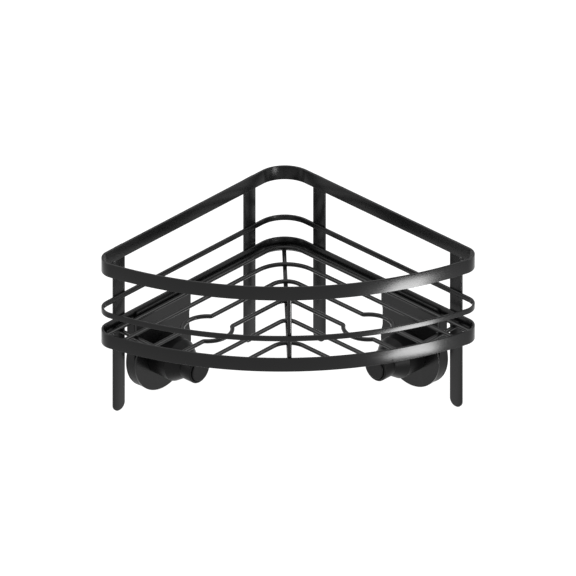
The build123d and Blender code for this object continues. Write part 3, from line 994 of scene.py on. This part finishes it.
def collar_end():
    """Where a shell's collar ends on its mount's axis."""
    sizes = mount()
    cone_end = hub_start() + sizes.hub_length + sizes.cone_length
    return cone_end + sizes.collar_flare + sizes.collar_length


class CADDY_OT_shells(bpy.types.Operator):
    """Makes the stepped shells over the mounts' mechanism"""

    bl_idname = "caddy.shells"
    bl_label = "Shells"

    def execute(self, context):
        sizes = mount()
        start = hub_start()
        hub_end = start + sizes.hub_length
        cone_end = hub_end + sizes.cone_length
        stop = hub_end + BORE_STEP
        steepness = sizes.cone_length / (sizes.hub_radius - sizes.neck_radius)
        slope = (sizes.hub_bore - sizes.bore_radius) * steepness
        groove, snap = collar_end() - RING_SETBACK, start + SNAP_PLACE
        profile = [
            (sizes.hub_radius, start, SEAT_EDGE),
            (sizes.hub_radius, hub_end, sizes.soft_edge),
            (sizes.neck_radius, cone_end, NECK_EDGE),
            (sizes.collar_radius, cone_end + sizes.collar_flare, NECK_EDGE),
            (sizes.collar_radius, collar_end(), sizes.soft_edge),
            (sizes.bore_radius, collar_end(), BORE_EDGE),
            (sizes.bore_radius, groove + RING_HALF),
            (RING_RADIUS, groove + RING_HALF),
            (RING_RADIUS, groove - RING_HALF),
            (sizes.bore_radius, groove - RING_HALF),
            (sizes.bore_radius, stop + slope),
            (sizes.hub_bore, stop),
            (sizes.hub_bore, snap + SNAP_DEPTH),
            (sizes.hub_bore + SNAP_DEPTH, snap),
            (sizes.hub_bore, snap - SNAP_DEPTH),
            (sizes.hub_bore, start),
        ]
        for hand, word in HANDS:
            mesh = turned_mesh(f"{word}_shell", profile, mount_matrix(hand, word))
            piece = add_piece(f"{word}_shell", mesh, "root", shell_plastic())
            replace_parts(piece, f"{word}_barrel")
        return {"FINISHED"}


class CADDY_OT_buttons(bpy.types.Operator):
    """Finishes the push buttons"""

    bl_idname = "caddy.buttons"
    bl_label = "Push buttons"

    def execute(self, context):
        paint_nodes(button_plastic(), "left_button", "right_button")
        return {"FINISHED"}


class CADDY_OT_cups(bpy.types.Operator):
    """Finishes the suction cups and their backings"""

    bl_idname = "caddy.cups"
    bl_label = "Suction cups"

    def execute(self, context):
        for _, word in HANDS:
            paint_nodes(cup_rubber(), f"{word}_suction_cup")
            paint_nodes(base_plastic(), f"{word}_cup_backing")
        return {"FINISHED"}


class CADDY_OT_linkage(bpy.types.Operator):
    """Finishes the mechanism inside the mounts"""

    bl_idname = "caddy.linkage"
    bl_label = "Linkage"

    def execute(self, context):
        for _, word in HANDS:
            paint_nodes(base_plastic(), f"{word}_rocker_base")
            paint_nodes(rocker_steel(), f"{word}_rocker_upper", f"{word}_rocker_lower")
            paint_nodes(plated_steel(), f"{word}_stem", f"{word}_lift_nut")
            paint_nodes(spring_steel(), f"{word}_button_spring", f"{word}_detent_ring")
        paint_nodes(plated_steel(), "rocker_pins", "mount_screws")
        return {"FINISHED"}


# ---- stage ----
def add_light(name, spot, face, along, width, height, power):
    """A soft rectangular light at a spot, with the way it shines and the way its height runs."""
    lamp = bpy.data.lights.new(name, "AREA")
    lamp.shape = "RECTANGLE"
    lamp.size, lamp.size_y = width, height
    lamp.energy = power
    holder = bpy.data.objects.new(name, lamp)
    back = -Vector(face).normalized()
    width_way = Vector(along).cross(back).normalized()
    turn = Matrix((width_way, back.cross(width_way), back)).transposed().to_4x4()
    holder.matrix_world = Matrix.Translation(spot) @ turn
    holder.visible_camera = False
    bpy.context.scene.collection.objects.link(holder)


class CADDY_OT_stage(bpy.types.Operator):
    """Makes the pale floor, the lights and the camera"""

    bl_idname = "caddy.stage"
    bl_label = "Stage"

    def execute(self, context):
        scene, studio = context.scene, context.scene.caddy_studio
        ground = bpy.data.meshes.new("floor")
        corners = ((-1, -1), (1, -1), (1, 1), (-1, 1))
        spots = [(x * FLOOR_HALF, y * FLOOR_HALF, -FLOOR_DROP) for x, y in corners]
        ground.from_pydata(spots, [], [(0, 1, 2, 3)])
        floor = bpy.data.objects.new("floor", ground)
        scene.collection.objects.link(floor)
        paper = bpy.data.materials.new("pale_floor")
        paper.use_nodes = True
        shader = paper.node_tree.nodes["Principled BSDF"]
        shader.inputs["Base Color"].default_value = (0.1, 0.1, 0.1, 1)
        shader.inputs["Roughness"].default_value = 0.9
        shader.inputs["Specular IOR Level"].default_value = 0.0
        shader.inputs["Emission Color"].default_value = (1, 1, 1, 1)
        shader.inputs["Emission Strength"].default_value = studio.floor_glow
        ground.materials.append(paper)

        world = bpy.data.worlds.new("studio_room")
        world.use_nodes = True
        sky = world.node_tree.nodes["Background"]
        sky.inputs["Color"].default_value = (1, 1, 1, 1)
        sky.inputs["Strength"].default_value = studio.room_light
        scene.world = world

        up, down, rear = (0, 0, 1), (0, 0, -1), (0, 1, 0)
        add_light("overhead", TOP_SPOT, down, rear, TOP_WIDTH, TOP_WIDTH, studio.top_light)
        for hand, word in HANDS:
            spot = (hand * SIDE_REACH, SIDE_BACK, SIDE_RISE)
            face = (-hand * SIDE_LEVEL, 0, -SIDE_FALL)
            power = studio.side_light
            add_light(f"side_{word}", spot, face, up, SIDE_WIDTH, SIDE_WIDTH, power)
        strip = (math.cos(studio.low_azimuth), math.sin(studio.low_azimuth), 0)
        add_light("low_right", LOW_SPOT, up, strip, LOW_WIDTH, LOW_LENGTH, studio.low_light)

        eye = bpy.data.cameras.new("camera")
        eye.type = "ORTHO"
        eye.ortho_scale = studio.view_width
        camera = bpy.data.objects.new("camera", eye)
        scene.collection.objects.link(camera)
        side, rise = studio.azimuth, studio.elevation
        right = Vector((math.cos(side), math.sin(side), 0))
        level = Vector((math.sin(side), -math.cos(side), 0))
        back = level * math.cos(rise) + Vector((0, 0, math.sin(rise)))
        upward = back.cross(right)
        aim = right * studio.aim_side + upward * studio.aim_rise
        turn = Matrix((right, upward, back)).transposed().to_4x4()
        camera.matrix_world = Matrix.Translation(aim + back * CAMERA_REACH) @ turn
        eye.clip_start, eye.clip_end = CLIP_NEAR, CLIP_FAR
        scene.camera = camera
        scene.view_settings.view_transform = "Standard"
        return {"FINISHED"}


class CADDY_PT_pieces(bpy.types.Panel):
    """The caddy's pieces and their sizes"""

    bl_idname = "CADDY_PT_pieces"
    bl_label = "Corner Shower Caddy"
    bl_space_type = "VIEW_3D"
    bl_region_type = "UI"
    bl_category = "Caddy"

    def draw(self, context):
        for operator in OPERATORS:
            self.layout.operator(operator.bl_idname)
        for name, _ in HOLDERS:
            holder = getattr(context.scene, name)
            box = self.layout.box()
            for label in holder.bl_rna.properties.keys():
                if label not in ("rna_type", "name"):
                    box.prop(holder, label)


OPERATORS = (
    CADDY_OT_stage,
    CADDY_OT_rails,
    CADDY_OT_posts,
    CADDY_OT_wires,
    CADDY_OT_weld_beads,
    CADDY_OT_brackets,
    CADDY_OT_shells,
    CADDY_OT_buttons,
    CADDY_OT_cups,
    CADDY_OT_linkage,
)
HOLDERS = (
    ("caddy_basket", CaddyBasketSizes),
    ("caddy_mount", CaddyMountSizes),
    ("caddy_colours", CaddyColours),
    ("caddy_studio", CaddyStudio),
)


def register():
    for label, holder in HOLDERS:
        bpy.utils.register_class(holder)
        setattr(bpy.types.Scene, label, PointerProperty(type=holder))
    for operator in OPERATORS:
        bpy.utils.register_class(operator)
    bpy.utils.register_class(CADDY_PT_pieces)


def unregister():
    bpy.utils.unregister_class(CADDY_PT_pieces)
    for operator in reversed(OPERATORS):
        bpy.utils.unregister_class(operator)
    for label, holder in reversed(HOLDERS):
        delattr(bpy.types.Scene, label)
        bpy.utils.unregister_class(holder)


def main():
    register()
    bpy.ops.caddy.stage()
    bpy.ops.caddy.rails()
    bpy.ops.caddy.posts()
    bpy.ops.caddy.wires()
    bpy.ops.caddy.weld_beads()
    bpy.ops.caddy.brackets()
    bpy.ops.caddy.shells()
    bpy.ops.caddy.buttons()
    bpy.ops.caddy.cups()
    bpy.ops.caddy.linkage()


if __name__ == "__main__":
    main()
